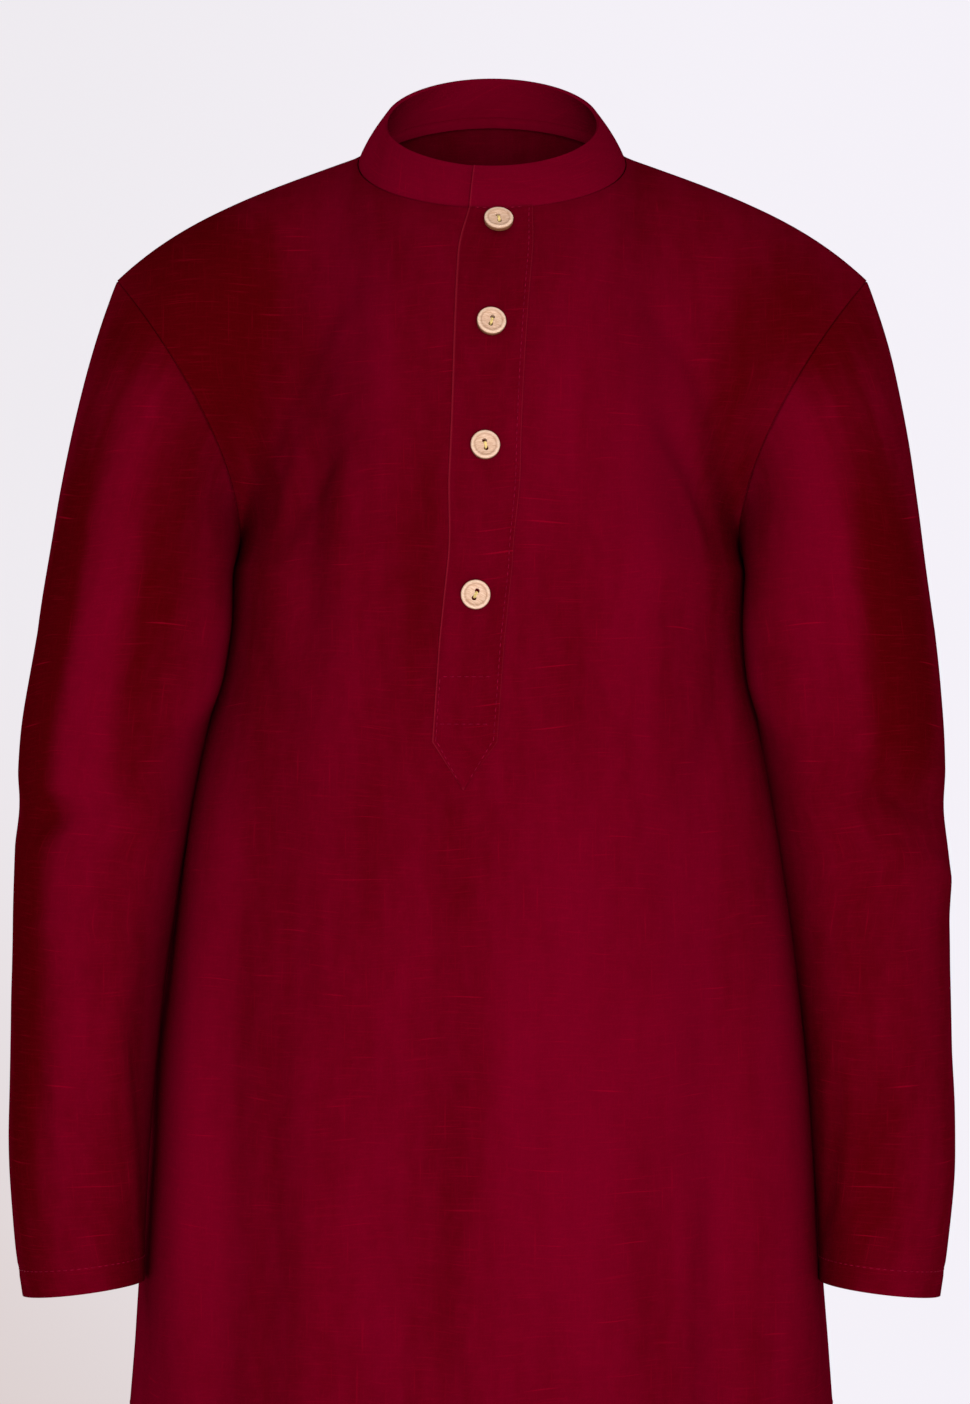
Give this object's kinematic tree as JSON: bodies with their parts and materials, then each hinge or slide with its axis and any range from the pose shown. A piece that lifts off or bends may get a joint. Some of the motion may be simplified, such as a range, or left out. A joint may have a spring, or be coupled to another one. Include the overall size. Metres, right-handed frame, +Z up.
{
  "type": "kurta tunic",
  "caption": "Child's long-sleeved kurta tunic in its worn shape, with a stand collar, a pointed chest placket and wooden buttons, open at the neck, cuffs and hem.",
  "frame": {"origin": "middle of the neck at the height of the shoulders, where the wearer carries the garment", "axes": "+Z up, -Y towards the garment's front, +X towards the wearer's left"},
  "size_m": [0.42, 0.2561, 0.8006],
  "materials": {
    "cloth": "matt deep red slub cotton, plain weave",
    "wood": "pale turned wood, lightly waxed"
  },
  "bodies": {
    "root": {"body_front": "cloth", "body_back": "cloth", "sleeve_left": "cloth", "sleeve_right": "cloth", "collar": "cloth", "placket": "cloth", "button_1": "wood", "button_2": "wood", "button_3": "wood", "button_4": "wood"}
  },
  "joints": []
}
